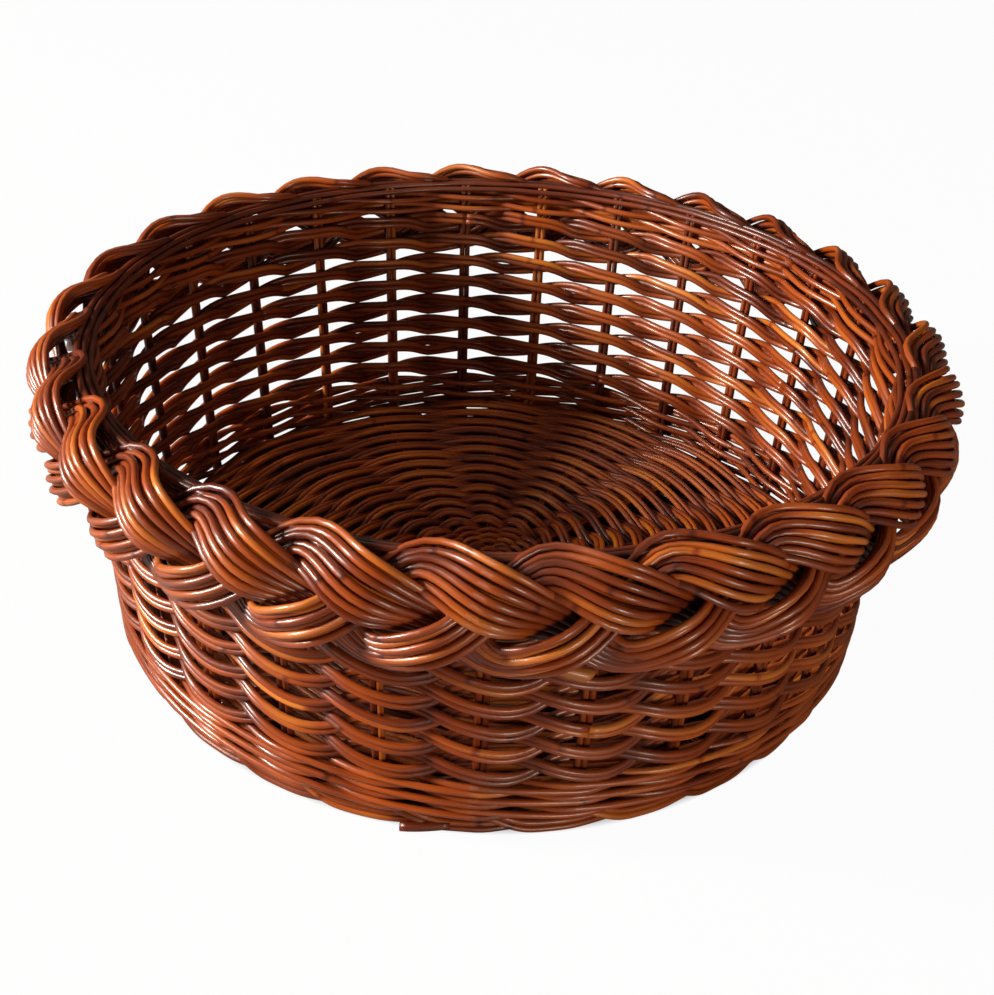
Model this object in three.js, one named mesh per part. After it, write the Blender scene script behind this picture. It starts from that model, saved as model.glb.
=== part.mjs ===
// A round open basket woven from thin rods, with a thick three-strand plait round its rim.
// Millimetres, +Z up. The origin is on the floor in the middle of the foot; -Y is the front.
import * as THREE from 'three';

// Numbers of things
const STAKES = 27;              // pairs of upright rods; an odd number lets one weaver alternate by itself
const WALE_ROWS = 3;            // strong rows that grip the stakes just above the base
const RANDING_ROWS = 17;        // plain over-one, under-one rows of the see-through wall
const TOP_WALE_ROWS = 2;        // closing rows under the rim
const SPOKES = 15;              // arms of the base
const BASE_TURNS = 25;          // turns of the base's weaver
const PLAIT_STRANDS = 3;

// Sizes of the rods and bundles
const CLEARANCE = 0.3;          // air between two rods that touch on the real basket
const STAKE_ROD = 2.2;          // thickness of an upright rod
const STAKE_PAIR_WIDTH = 5.4;   // two rods side by side
const WEAVER_ROD = 2.15;        // one of the two thin rods laid together in a row
const WALE_ROW_HEIGHT = 5.0;    // the wale's heavier pair of rods
const TAPER_HEIGHT = 2.2;       // the thin end of the first and of the last row
const SPOKE_ROD = 2.2;
const SPOKE_WIDTH = 3.0;
const BASE_WEAVER_ROD = 1.8;
const BASE_WEAVER_WIDTH = 3.7;
const STRAND_WIDTH = 13.4;      // a flat bundle of rods
const STRAND_FAN = 4.2;         // it spreads on its way down the face and narrows on its way up
const STRAND_THICKNESS = 4.2;
const STRAND_CROWN = 1.2;       // the bundle's face is this much higher in its middle than at its sides
const STRAND_RIB = 0.7;         // and its rods stand out from it as ribs

// Sizes of the whole
const WALL_RADIUS_FOOT = 136.6; // middle of the wall where the stakes turn up
const WALL_RADIUS_RIM = 144.9;  // middle of the wall at its top
const FOOT_HEIGHT = 7.5;
const FOOT_WIDTH = 10.0;
const FOOT_INSET = 1.5;         // the foot's outer face stands this far inside the stakes' outer face
const FOOT_ROUND = 1.6;
const LEG_REACH = 12.0;         // how far a stake's turned-in end reaches over the foot
const LEG_BEND = 2.5;
const BASE_EYE = 26.0;          // radius where the base's weaving starts
const HUB_GAP = 1.0;            // between the crossed sticks in the middle and the weaving's start
const RIM_CORE_WIDTH = 6.5;     // the rods that run along the wall's top, behind the plait
const RIM_CORE_HEIGHT = 4.8;
const PLAIT_BEND_OVER = 17.0;   // the plait curls over the wall's top with this radius
const PLAIT_BEND_UNDER = 30.0;  // and its lower half tucks in with this one
const PLAIT_LEAN = 0.2;         // a bundle comes down the face slowly and goes up again quickly
const CREST_REACH = 0.28;       // it goes further over the crest than under the lower edge
const PLAIT_SKEW = 0.09;        // it leaves the crest and the lower edge slowly and comes to them fast
const PLAIT_STRAIGHT = 0.03;    // and runs nearly straight between them
const CREST_FLAT_FROM = 11.0;   // this far up the face the bundles stop going out and in,
const CREST_FLAT_BY = 19.0;     // and from here on they lie level, side by side on the rim core
const PLAIT_SNAP = 0.1;         // how sharply a bundle changes from over to under
const PLAIT_OUTSIDE = 0.8;      // the crest's inner edge is this far outside the middle of the wall's top
const PLAIT_TURN = THREE.MathUtils.degToRad(-1.4);  // where the first strand's wave starts
const SEAM_ANGLE = THREE.MathUtils.degToRad(150); // where one row of weaving ends and the next begins
const CUT_END_LENGTH = 18.0;    // cut rod ends that stick out
const CUT_END_HEIGHT = 4.6;
const CUT_END_THICKNESS = 2.4;
const CUT_END_DROP = 4.5;
const CUT_END_SLANT = 2.0;      // how far the cut leans to each side
const RIM_END_ANGLE = THREE.MathUtils.degToRad(5); // the cut end under the plait is near here
const RIM_END_BACK = 21.4;      // and starts this far before the stake whose stroke it lies on
const RIM_END_BELOW = 26.0;     // it starts this far below the wall's top
const FOOT_END_ANGLE = THREE.MathUtils.degToRad(-11);
const FOOT_END_LENGTH = 16.0;
const FOOT_END_ROD = 3.0;
const FOOT_END_SLANT = 0.6;

// Rods, rows and strands come whole.
const stakeCount = Math.round(STAKES);
const spokeCount = Math.round(SPOKES);
const strandCount = Math.round(PLAIT_STRANDS);
const PITCH = 2 * Math.PI / stakeCount;
const ROW_HEIGHT = 2 * WEAVER_ROD;
// A strand has to swing far enough up and down, and out and in, to pass its neighbours.
const PLAIT_SWING = 0.9 * STRAND_WIDTH + CLEARANCE;
const PLAIT_DEPTH = 1.1 * STRAND_THICKNESS + CLEARANCE;

// Heights, from the floor up
const legBottom = FOOT_HEIGHT + CLEARANCE;
const legTop = legBottom + STAKE_ROD;
const weavingBottom = legTop + CLEARANCE;

// One long weaver climbs round the wall, so the rows are turns of a single helix.
const rows = [];
for (let i = 0; i < Math.round(WALE_ROWS); i += 1) {
  rows.push({ name: `bottom_wale_${i + 1}`, height: WALE_ROW_HEIGHT, kind: 'wale' });
}
for (let i = 0; i < Math.round(RANDING_ROWS); i += 1) {
  rows.push({ name: `weaver_row_${String(i + 1).padStart(2, '0')}`, height: ROW_HEIGHT, kind: 'randing' });
}
for (let i = 0; i < Math.round(TOP_WALE_ROWS); i += 1) {
  rows.push({ name: `top_wale_${i + 1}`, height: ROW_HEIGHT, kind: 'wale' });
}
// The first row lies level on the stakes' turned-in ends and thickens as the helix leaves it, and the
// last row thins out under the rim, so the weaving starts and ends flat.
let climb = weavingBottom + TAPER_HEIGHT + CLEARANCE;
rows.forEach((row, r) => {
  row.rise = r === 0 ? 0 : row.height + CLEARANCE;
  row.bottom = r === 0 ? weavingBottom : climb;
  climb += row.rise;
});
rows.forEach((row, r) => {
  const above = rows[r + 1];
  row.topStart = above ? above.bottom - CLEARANCE : climb + TAPER_HEIGHT;
  row.topEnd = above ? above.bottom + above.rise - CLEARANCE : climb + TAPER_HEIGHT;
});
const stakeTop = climb + TAPER_HEIGHT;
const coreBottom = stakeTop + CLEARANCE;
const coreTop = coreBottom + RIM_CORE_HEIGHT;

// The wall leans out a little, in a straight line from the foot to the rim.
function wallRadius(z) {
  const share = (z - legBottom) / (stakeTop - legBottom);
  return WALL_RADIUS_FOOT + share * (WALL_RADIUS_RIM - WALL_RADIUS_FOOT);
}

// A point at an angle from the front, anticlockwise seen from above.
function at(angle, radius, z) {
  return new THREE.Vector3(radius * Math.sin(angle), -radius * Math.cos(angle), z);
}

// Joins a run of equal sections into one closed body, with end caps or closed on itself.
function sweep(sections, closed) {
  const count = sections.length;
  const sides = sections[0].length;
  const positions = [];
  for (const section of sections) {
    for (const p of section) positions.push(p.x, p.y, p.z);
  }
  const index = [];
  const steps = closed ? count : count - 1;
  for (let i = 0; i < steps; i += 1) {
    const here = i * sides;
    const next = ((i + 1) % count) * sides;
    for (let j = 0; j < sides; j += 1) {
      const k = (j + 1) % sides;
      index.push(here + j, next + j, next + k);
      index.push(here + j, next + k, here + k);
    }
  }
  if (!closed) {
    const last = (count - 1) * sides;
    for (let j = 1; j < sides - 1; j += 1) {
      index.push(0, j, j + 1);
      index.push(last, last + j + 1, last + j);
    }
  }
  const geometry = new THREE.BufferGeometry();
  geometry.setAttribute('position', new THREE.Float32BufferAttribute(positions, 3));
  geometry.setIndex(index);
  geometry.computeVertexNormals();
  return geometry;
}

function rodMaterial(colour) {
  return new THREE.MeshStandardMaterial({ color: colour, roughness: 0.35, metalness: 0 });
}
const stakeLook = rodMaterial(0x6b3216);
const weaverLook = rodMaterial(0x8a4520);
const waleLook = rodMaterial(0x94501f);
const plaitLook = rodMaterial(0x9a4a22);
const baseLook = rodMaterial(0x7c4a1c);
const spokeLook = rodMaterial(0x6e3c18);
const footLook = rodMaterial(0x5e2c18);

const basket = new THREE.Group();
basket.name = 'basket';
function add(name, geometry, look) {
  const mesh = new THREE.Mesh(geometry, look);
  mesh.name = name;
  basket.add(mesh);
  return mesh;
}

// Foot: the rolled border that the basket stands on, a ring with a flat underside.
const footOuter = WALL_RADIUS_FOOT + STAKE_ROD / 2 - FOOT_INSET;
const footInner = footOuter - FOOT_WIDTH;
const footProfile = [
  new THREE.Vector2(footInner + FOOT_ROUND, 0),
  new THREE.Vector2(footOuter - FOOT_ROUND, 0),
  new THREE.Vector2(footOuter, FOOT_ROUND),
  new THREE.Vector2(footOuter, FOOT_HEIGHT - FOOT_ROUND),
  new THREE.Vector2(footOuter - FOOT_ROUND, FOOT_HEIGHT),
  new THREE.Vector2(footInner + FOOT_ROUND, FOOT_HEIGHT),
  new THREE.Vector2(footInner, FOOT_HEIGHT - FOOT_ROUND),
  new THREE.Vector2(footInner, FOOT_ROUND),
  new THREE.Vector2(footInner + FOOT_ROUND, 0),
];
add('foot_border', new THREE.LatheGeometry(footProfile, 2 * stakeCount).rotateX(Math.PI / 2), footLook);

// Stakes: each pair of rods lies over the foot, turns up at the base's edge and leans out to the rim.
function stakeGeometry() {
  const half = STAKE_ROD / 2;
  const inner = WALL_RADIUS_FOOT - LEG_REACH;
  const outline = new THREE.Shape();
  outline.moveTo(inner, legBottom);
  outline.lineTo(wallRadius(legBottom) + half - LEG_BEND, legBottom);
  outline.lineTo(wallRadius(legBottom + LEG_BEND) + half, legBottom + LEG_BEND);
  outline.lineTo(wallRadius(stakeTop) + half, stakeTop);
  outline.lineTo(wallRadius(stakeTop) - half, stakeTop);
  outline.lineTo(wallRadius(legTop) - half, legTop);
  outline.lineTo(inner, legTop);
  outline.closePath();
  const geometry = new THREE.ExtrudeGeometry(outline, { depth: STAKE_PAIR_WIDTH, bevelEnabled: false });
  geometry.translate(0, 0, -STAKE_PAIR_WIDTH / 2);
  return geometry.rotateX(Math.PI / 2);
}
for (let s = 0; s < stakeCount; s += 1) {
  const stake = add(`stake_${String(s + 1).padStart(2, '0')}`, stakeGeometry(), stakeLook);
  stake.rotation.z = s * PITCH - Math.PI / 2;
}

// Weaving: a band of two thin rods, outside one stake and inside the next. The wales go outside two
// stakes and inside one. Each stroke is a straight run past its stake, so it stands out by the sagitta.
function strokeSide(row, stake) {
  if (rows[row].kind === 'randing') return (row + stake) % 2 === 0 ? 1 : -1;
  return (stake + row) % 3 === 2 ? -1 : 1;
}
function strokeOffset(side, z) {
  const touching = (STAKE_ROD + WEAVER_ROD) / 2 + CLEARANCE;
  const sagitta = (wallRadius(z) + touching) * (1 - Math.cos(PITCH / 4));
  return side > 0 ? touching + sagitta : sagitta - touching;
}
const seamStake = Math.round(SEAM_ANGLE / PITCH);
const seamGap = CLEARANCE / 2 / WALL_RADIUS_FOOT;
rows.forEach((row, r) => {
  const sections = [];
  const station = (turn, offset) => {
    const bottom = row.bottom + turn * row.rise;
    const top = row.topStart + turn * (row.topEnd - row.topStart);
    const angle = (seamStake - 0.5) * PITCH + turn * 2 * Math.PI;
    const half = WEAVER_ROD / 2;
    sections.push([
      at(angle, wallRadius(bottom) + offset - half, bottom),
      at(angle, wallRadius(bottom) + offset + half, bottom),
      at(angle, wallRadius(top) + offset + half, top),
      at(angle, wallRadius(top) + offset - half, top),
    ]);
  };
  const offsetOf = (rowIndex, stake) => strokeOffset(strokeSide(rowIndex, stake), row.bottom);
  const before = r > 0 ? offsetOf(r - 1, stakeCount - 1) : offsetOf(r, 0);
  const after = r + 1 < rows.length ? offsetOf(r + 1, 0) : offsetOf(r, stakeCount - 1);
  station(seamGap / (2 * Math.PI), (before + offsetOf(r, 0)) / 2);
  for (let s = 0; s < stakeCount; s += 1) {
    station((s + 0.25) / stakeCount, offsetOf(r, s));
    station((s + 0.75) / stakeCount, offsetOf(r, s));
  }
  station(1 - seamGap / (2 * Math.PI), (offsetOf(r, stakeCount - 1) + after) / 2);
  add(row.name, sweep(sections, false), row.kind === 'wale' ? waleLook : weaverLook);
});

// Base: arms that cross in the middle, and one flat weaver spiralling out over and under them.
const hubRadius = BASE_EYE - HUB_GAP;
const spacing = (radius) => 2 * Math.PI * radius / spokeCount;
function baseLift(radius) {
  const touching = (SPOKE_ROD + BASE_WEAVER_ROD) / 2 + CLEARANCE;
  return touching / (1 - SPOKE_WIDTH / spacing(radius));
}
const firstWaleInside = wallRadius(weavingBottom) + strokeOffset(-1, weavingBottom) - WEAVER_ROD / 2;
const baseEdge = (firstWaleInside - CLEARANCE) * Math.cos(PITCH / 4);
const baseMiddle = weavingBottom + baseLift(baseEdge - BASE_WEAVER_WIDTH) + BASE_WEAVER_ROD / 2;
const basePitch = (baseEdge - BASE_WEAVER_WIDTH - BASE_EYE) / Math.round(BASE_TURNS);
const bandWidth = Math.min(BASE_WEAVER_WIDTH, basePitch - CLEARANCE);
const armAngle = (k) => Math.PI + k * 2 * Math.PI / spokeCount;

const star = new THREE.Shape();
for (let k = 0; k < spokeCount; k += 1) {
  const half = SPOKE_WIDTH / 2;
  const neck = Math.sqrt(hubRadius * hubRadius - half * half);
  const corners = [[neck, -half], [baseEdge, -half], [baseEdge, half], [neck, half]];
  for (const [out, side] of corners) {
    const p = at(armAngle(k), out, 0);
    const x = p.x + side * Math.cos(armAngle(k));
    const y = p.y + side * Math.sin(armAngle(k));
    if (k === 0 && out === neck && side < 0) star.moveTo(x, y);
    else star.lineTo(x, y);
  }
}
star.closePath();
const starGeometry = new THREE.ExtrudeGeometry(star, { depth: SPOKE_ROD, bevelEnabled: false });
add('base_spokes', starGeometry.translate(0, 0, baseMiddle - SPOKE_ROD / 2), spokeLook);

const spiral = [];
for (let g = 0; g <= Math.round(BASE_TURNS) * spokeCount; g += 1) {
  const inner = BASE_EYE + basePitch * g / spokeCount;
  const side = g % 2 === 0 ? 1 : -1;
  const middle = baseMiddle + side * baseLift(inner);
  const low = middle - BASE_WEAVER_ROD / 2;
  const high = middle + BASE_WEAVER_ROD / 2;
  spiral.push([
    at(armAngle(g), inner, low),
    at(armAngle(g), inner + bandWidth, low),
    at(armAngle(g), inner + bandWidth, high),
    at(armAngle(g), inner, high),
  ]);
}
add('base_weaver', sweep(spiral, false), baseLook);

// Rim core: rods that run round on top of the stakes and carry the plait.
const coreMiddle = wallRadius(stakeTop);
const coreRound = 1.4;
const halfCore = RIM_CORE_WIDTH / 2;
const coreProfile = [
  new THREE.Vector2(coreMiddle - halfCore + coreRound, coreBottom),
  new THREE.Vector2(coreMiddle + halfCore, coreBottom),
  new THREE.Vector2(coreMiddle + halfCore, coreTop - coreRound),
  new THREE.Vector2(coreMiddle + halfCore - coreRound, coreTop),
  new THREE.Vector2(coreMiddle - halfCore + coreRound, coreTop),
  new THREE.Vector2(coreMiddle - halfCore, (coreBottom + coreTop) / 2),
  new THREE.Vector2(coreMiddle - halfCore + coreRound, coreBottom),
];
add('rim_core', new THREE.LatheGeometry(coreProfile, 2 * stakeCount).rotateX(Math.PI / 2), stakeLook);

// Plait: three bundles of rods. Each swings up and down the face and, twice as often, out and in, so it
// goes over its neighbours on the way down from the crest and on the way up from the lower edge.
const wallOutside = (z) => wallRadius(z) + strokeOffset(1, z) + WEAVER_ROD / 2;
const waves = Math.round(stakeCount / strandCount);
const STEPS_PER_WAVE = 12;

// How far up the face a bundle's middle is, and how far out.
function plaitWave(t) {
  const turn = t + PLAIT_LEAN * Math.sin(t);
  return Math.sin(turn) - PLAIT_STRAIGHT * Math.sin(3 * turn) - PLAIT_SKEW * Math.cos(3 * turn);
}
function plaitUp(t) {
  const wave = plaitWave(t);
  return PLAIT_SWING * wave * (1 + CREST_REACH * Math.max(wave, 0));
}
function plaitOut(t, up) {
  const flat = THREE.MathUtils.clamp((up - CREST_FLAT_FROM) / (CREST_FLAT_BY - CREST_FLAT_FROM), 0, 1);
  return -PLAIT_DEPTH * (Math.sin(2 * t) + PLAIT_SNAP * Math.sin(4 * t)) * (1 - flat);
}
// The plait lies on the rim core: its crest clears the core's upper corner.
const strandUnder = 0.45 * STRAND_THICKNESS;
const turnSteps = Array.from({ length: 360 }, (_, step) => THREE.MathUtils.degToRad(step));
const crestWave = Math.max(...turnSteps.map(plaitWave));
const crestUp = PLAIT_SWING * crestWave * (1 + CREST_REACH * crestWave);
const crestTurn = (crestUp + STRAND_WIDTH / 2) / PLAIT_BEND_OVER;
const plaitRadius = coreMiddle + PLAIT_OUTSIDE + PLAIT_BEND_OVER * (1 - Math.cos(crestTurn));
const coreCorner = coreMiddle + halfCore - coreRound - (plaitRadius - PLAIT_BEND_OVER);
const plaitHeight = coreTop - Math.sqrt((PLAIT_BEND_OVER - strandUnder - CLEARANCE) ** 2 - coreCorner ** 2);

// The plait is worked flat and bent over the rim: a point up its face and out from it.
function onRim(angle, up, out) {
  const bend = up > 0 ? PLAIT_BEND_OVER : PLAIT_BEND_UNDER;
  const turn = up / bend;
  return at(
    angle,
    plaitRadius - bend * (1 - Math.cos(turn)) + out * Math.cos(turn),
    plaitHeight + (bend + out) * Math.sin(turn),
  );
}
// A bundle's section: across it, as a share of its half width, and out from its middle.
const edgeHigh = 0.1 * STRAND_THICKNESS;
const bundle = [[-1, edgeHigh]];
for (const [across, rib] of [[-0.68, 1], [-0.34, 0], [0, 1], [0.34, 0], [0.68, 1]]) {
  bundle.push([across, strandUnder + STRAND_CROWN * (1 - across ** 2) - STRAND_RIB * (1 - rib)]);
}
bundle.push([1, edgeHigh], [1, -edgeHigh], [0.5, -strandUnder], [-0.5, -strandUnder], [-1, -edgeHigh]);

for (let strand = 0; strand < strandCount; strand += 1) {
  const phase = strand * 2 * Math.PI / strandCount;
  const sections = [];
  const steps = Math.round(waves * STEPS_PER_WAVE);
  for (let i = 0; i < steps; i += 1) {
    const angle = i * 2 * Math.PI / steps;
    const t = waves * (angle - PLAIT_TURN) + phase;
    // Along the bundle, for each radian round the rim.
    const climbing = waves * (plaitUp(t + 0.01) - plaitUp(t - 0.01)) / 0.02;
    const run = Math.hypot(plaitRadius, climbing);
    const half = (STRAND_WIDTH - STRAND_FAN * Math.cos(t)) / 2;
    sections.push(bundle.map(([share, lifted]) => {
      const across = share * half;
      const up = plaitUp(t) + across * plaitRadius / run;
      return onRim(angle - across * climbing / run / plaitRadius, up, plaitOut(t, up) + lifted);
    }));
  }
  add(`plait_strand_${strand + 1}`, sweep(sections, true), plaitLook);
}

// Cut rod ends: one shows under the plait at the front, flat against the wall and cut on a slant,
// and one sticks out beside the foot.
function cutEnd(start, length, radiusAt, heightAt, high, thick, slant) {
  const sections = [];
  const middleRadius = radiusAt(0);
  for (const share of [0, 0.5, 1]) {
    const angle = start + share * length / middleRadius;
    const lean = share === 1 ? slant / middleRadius : 0;
    const r = radiusAt(share);
    const z = heightAt(share);
    sections.push([
      at(angle - lean, r - thick / 2, z - high / 2),
      at(angle - lean, r + thick / 2, z - high / 2),
      at(angle + lean, r + thick / 2, z + high / 2),
      at(angle + lean, r - thick / 2, z + high / 2),
    ]);
  }
  return sweep(sections, false);
}
const rimEndTop = stakeTop - RIM_END_BELOW;
const rimEndRadius = wallOutside(rimEndTop + CUT_END_HEIGHT / 2) + CLEARANCE + CUT_END_THICKNESS / 2;
// It lies on the first stroke past its angle that passes outside a stake, in the row behind its tip.
const stakesPastSeam = (RIM_END_ANGLE / PITCH - seamStake + stakeCount) % stakeCount;
const turnPastSeam = (stakesPastSeam + 0.5) / stakeCount;
const rimEndTip = rimEndTop - CUT_END_DROP;
const rimEndRow = rows.findLastIndex((row) => row.bottom + turnPastSeam * row.rise < rimEndTip);
const nextStake = Math.ceil(stakesPastSeam);
const rimEndStake = seamStake + (strokeSide(rimEndRow, nextStake) > 0 ? nextStake : nextStake + 1);
add('rod_end_rim', cutEnd(
  rimEndStake * PITCH - RIM_END_BACK / rimEndRadius, CUT_END_LENGTH,
  () => rimEndRadius,
  (share) => rimEndTop - share * CUT_END_DROP,
  CUT_END_HEIGHT, CUT_END_THICKNESS, CUT_END_SLANT,
), waleLook);
const footEndHeight = FOOT_HEIGHT / 2;
add('rod_end_foot', cutEnd(
  FOOT_END_ANGLE, FOOT_END_LENGTH,
  () => footOuter + CLEARANCE + FOOT_END_ROD / 2,
  () => footEndHeight,
  FOOT_END_ROD, FOOT_END_ROD, -FOOT_END_SLANT,
), footLook);

export default basket;
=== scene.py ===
# %% [markdown]
# # A round rattan basket, laid rod by rod
# The basket in the photograph is nothing but rods. Pairs of upright stakes stand in a ring, thin
# weavers go in and out between them, and a thick three-strand plait closes the rim. A solid wall
# with a woven picture on it would look wrong as soon as light falls through it, so every rod here
# is a real tube that passes over and under its neighbours.
#
# The solids made before this lesson give the sizes and the places. They are loaded first, and each
# of them is then replaced by the rods that it stood for. Lengths are written in millimetres, as a
# basket maker would measure them, and turned into metres when a rod is laid.

# %% Load the frame and keep its box
import math

import bmesh
import bpy
import numpy as np
from mathutils import Matrix, Vector


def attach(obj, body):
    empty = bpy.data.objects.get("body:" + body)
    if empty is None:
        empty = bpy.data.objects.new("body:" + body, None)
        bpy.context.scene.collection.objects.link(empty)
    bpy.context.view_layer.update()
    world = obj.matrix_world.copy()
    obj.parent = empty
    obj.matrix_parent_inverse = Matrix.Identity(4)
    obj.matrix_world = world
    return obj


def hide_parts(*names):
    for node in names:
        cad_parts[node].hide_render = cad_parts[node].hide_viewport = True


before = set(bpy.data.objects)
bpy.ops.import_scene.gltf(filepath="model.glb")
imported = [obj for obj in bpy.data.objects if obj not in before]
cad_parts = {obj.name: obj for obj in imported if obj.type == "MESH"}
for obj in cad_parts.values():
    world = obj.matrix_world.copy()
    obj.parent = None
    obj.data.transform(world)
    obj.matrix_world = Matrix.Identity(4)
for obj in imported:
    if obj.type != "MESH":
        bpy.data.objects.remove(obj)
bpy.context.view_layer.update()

MM = 0.001

# %% [markdown]
# ## Where the photographer stood
# The picture was taken from the front and from about thirty degrees above, with the camera a little
# tilted to one side. Three arrows say that best: which way is right, which way is down and which
# way the lens looks. A Blender camera looks along its own -Z with +Y up, so "down" and "forward"
# are turned round when they become the columns of its matrix.

# %% Camera
PLAIT_OUTER_RADIUS = 166.3 * MM
LENS_PIXELS = 1600.0
PHOTO_LONG_SIDE = 995
SENSOR = 36.0
right = Vector((0.999022128, 0.020138805, 0.039360077))
down = Vector((0.044062099, -0.526979764, -0.848734858))
forward = Vector((0.003649458, 0.849639192, -0.527351804))
stand = Vector((0.0, -3.13291, 2.21632)) * PLAIT_OUTER_RADIUS

camera_data = bpy.data.cameras.new("photo_camera")
camera_data.sensor_width = SENSOR
camera_data.lens = LENS_PIXELS / PHOTO_LONG_SIDE * SENSOR
camera = bpy.data.objects.new("photo_camera", camera_data)
camera.matrix_world = Matrix((
    (right.x, -down.x, -forward.x, stand.x),
    (right.y, -down.y, -forward.y, stand.y),
    (right.z, -down.z, -forward.z, stand.z),
    (0, 0, 0, 1),
))
bpy.context.collection.objects.link(camera)
bpy.context.scene.camera = camera
print("lens %.1f mm, %.2f m from the basket" % (camera_data.lens, stand.length))

# %% [markdown]
# ## Shader sums in plain Python
# Every finish below is a small sum: a rod's own shade, plus a little grain, minus some dirt. In the
# node editor each plus sign is a node. Here a `Flow` wraps one socket and knows how to be added,
# subtracted, multiplied or divided, and each of those adds the Math node by itself. A `Finish` is
# one material, and its `node` method makes any other node: first its settings, then its inputs.

# %% Helpers for materials
class Flow:
    """One output socket, which takes part in sums as a number would."""

    def __init__(self, finish, socket):
        self.finish = finish
        self.socket = socket

    def sum(self, operation, first, second):
        return self.finish.node("ShaderNodeMath", {"operation": operation}, {0: first, 1: second})

    def __add__(self, other):
        return self.sum("ADD", self, other)

    def __radd__(self, other):
        return self.sum("ADD", other, self)

    def __sub__(self, other):
        return self.sum("SUBTRACT", self, other)

    def __rsub__(self, other):
        return self.sum("SUBTRACT", other, self)

    def __mul__(self, other):
        return self.sum("MULTIPLY", self, other)

    def __rmul__(self, other):
        return self.sum("MULTIPLY", other, self)

    def __truediv__(self, other):
        return self.sum("DIVIDE", self, other)

    def __rtruediv__(self, other):
        return self.sum("DIVIDE", other, self)

    def clamp(self):
        settings = {"operation": "MULTIPLY", "use_clamp": True}
        return self.finish.node("ShaderNodeMath", settings, {0: self, 1: 1.0})


class Finish:
    """A material that is being put together."""

    def __init__(self, owner):
        self.owner = owner
        owner.use_nodes = True
        self.tree = owner.node_tree
        self.tree.nodes.clear()

    def node(self, kind, settings=None, inputs=None, out=0):
        node = self.tree.nodes.new(kind)
        for key, value in (settings or {}).items():
            if key == "stops":
                self.set_stops(node.color_ramp, value)
            else:
                setattr(node, key, value)
        for key, value in (inputs or {}).items():
            if isinstance(value, Flow):
                self.tree.links.new(value.socket, node.inputs[key])
            else:
                node.inputs[key].default_value = value
        return Flow(self, node.outputs[out])

    def set_stops(self, ramp, stops):
        while len(ramp.elements) < len(stops):
            ramp.elements.new(0.5)
        for element, (place, colour) in zip(ramp.elements, stops):
            element.position = place
            element.color = (*colour, 1)

    def blend(self, share, first, second):
        """A colour between two colours."""
        inputs = {0: share, 6: first, 7: second}
        return self.node("ShaderNodeMix", {"data_type": "RGBA"}, inputs, out=2)

    def end(self, surface, kind="ShaderNodeOutputMaterial"):
        output = self.tree.nodes.new(kind)
        self.tree.links.new(surface.socket, output.inputs["Surface"])
        return self.owner


print("helpers for materials are ready")

# %% [markdown]
# ## A white table and soft light
# A catalogue photograph has a white sheet under the object and one big soft lamp. Here the lamp
# stands low on the left, so the left of the plait shines, the light comes in over the left rim onto
# the right-hand wall inside, and the base stays in the shade. A weaker lamp, low in front on the
# right, lifts the front wall without shining into the basket, and a faint one above touches the
# rim.
#
# The sheet has to look white without extra lamps. So where the camera sees it, most of it is a
# plain white glow, and the rest is grey paper that keeps the basket's shadow. Under the base the
# glow stops and the paper is painted near-black brown: a painted shadow where no light gets in.

# %% Floor, world and lamps
SHEET_GLOW = 0.93
SHEET_GLOW_LEVEL = 1.04
SHEET_SIZE = 12.0
WORLD_LEVEL = 0.09
SHADE_RADIUS = 0.130
SHADE_EDGE = 0.006
# The colour of the painted shadow on the paper under the base.
PAINTED_SHADOW_PAPER = (0.04, 0.02, 0.01, 1)
WARM_ROOM = (1.0, 0.80, 0.62, 1)
WHITE = (1, 1, 1, 1)
BASKET_MIDDLE = (0, 0, 0.08)


def seen_by_camera(finish):
    return finish.node("ShaderNodeLightPath")


paper = Finish(bpy.data.materials.new("white_sheet"))
grain_of_paper = paper.node("ShaderNodeTexNoise", inputs={"Scale": 90.0, "Detail": 4.0})
pale_paper = paper.blend(grain_of_paper, (0.22, 0.22, 0.22, 1), (0.25, 0.25, 0.25, 1))
on_sheet = paper.node("ShaderNodeTexCoord", out="Object")
from_middle = paper.node("ShaderNodeVectorMath", {"operation": "LENGTH"}, {0: on_sheet},
                         out="Value")
outside_painted_shadow = ((from_middle - SHADE_RADIUS) / SHADE_EDGE).clamp()
# Under the base the paper's colour is a painted shadow, a near-black brown.
paper_colour = paper.blend(outside_painted_shadow, PAINTED_SHADOW_PAPER, pale_paper)
paper_body = paper.node("ShaderNodeBsdfPrincipled", inputs={
    "Base Color": paper_colour, "Roughness": 0.9})
paper_glow = paper.node("ShaderNodeEmission", inputs={"Color": WHITE, "Strength": SHEET_GLOW_LEVEL})
paper_surface = paper.node("ShaderNodeMixShader", inputs={
    0: seen_by_camera(paper) * outside_painted_shadow * SHEET_GLOW, 1: paper_body, 2: paper_glow})

sheet_mesh = bpy.data.meshes.new("white_sheet")
sheet_bm = bmesh.new()
bmesh.ops.create_grid(sheet_bm, x_segments=4, y_segments=4, size=SHEET_SIZE / 2)
sheet_bm.to_mesh(sheet_mesh)
sheet_bm.free()
sheet = bpy.data.objects.new("white_sheet", sheet_mesh)
bpy.context.collection.objects.link(sheet)
sheet_mesh.materials.append(paper.end(paper_surface))

room = Finish(bpy.data.worlds.new("studio"))
room_light = room.node("ShaderNodeBackground", inputs={"Color": WARM_ROOM, "Strength": WORLD_LEVEL})
room_white = room.node("ShaderNodeBackground", inputs={"Color": WHITE, "Strength": 1.0})
room_mix = room.node("ShaderNodeMixShader", inputs={
    0: seen_by_camera(room), 1: room_light, 2: room_white})
bpy.context.scene.world = room.end(room_mix, "ShaderNodeOutputWorld")


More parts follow.
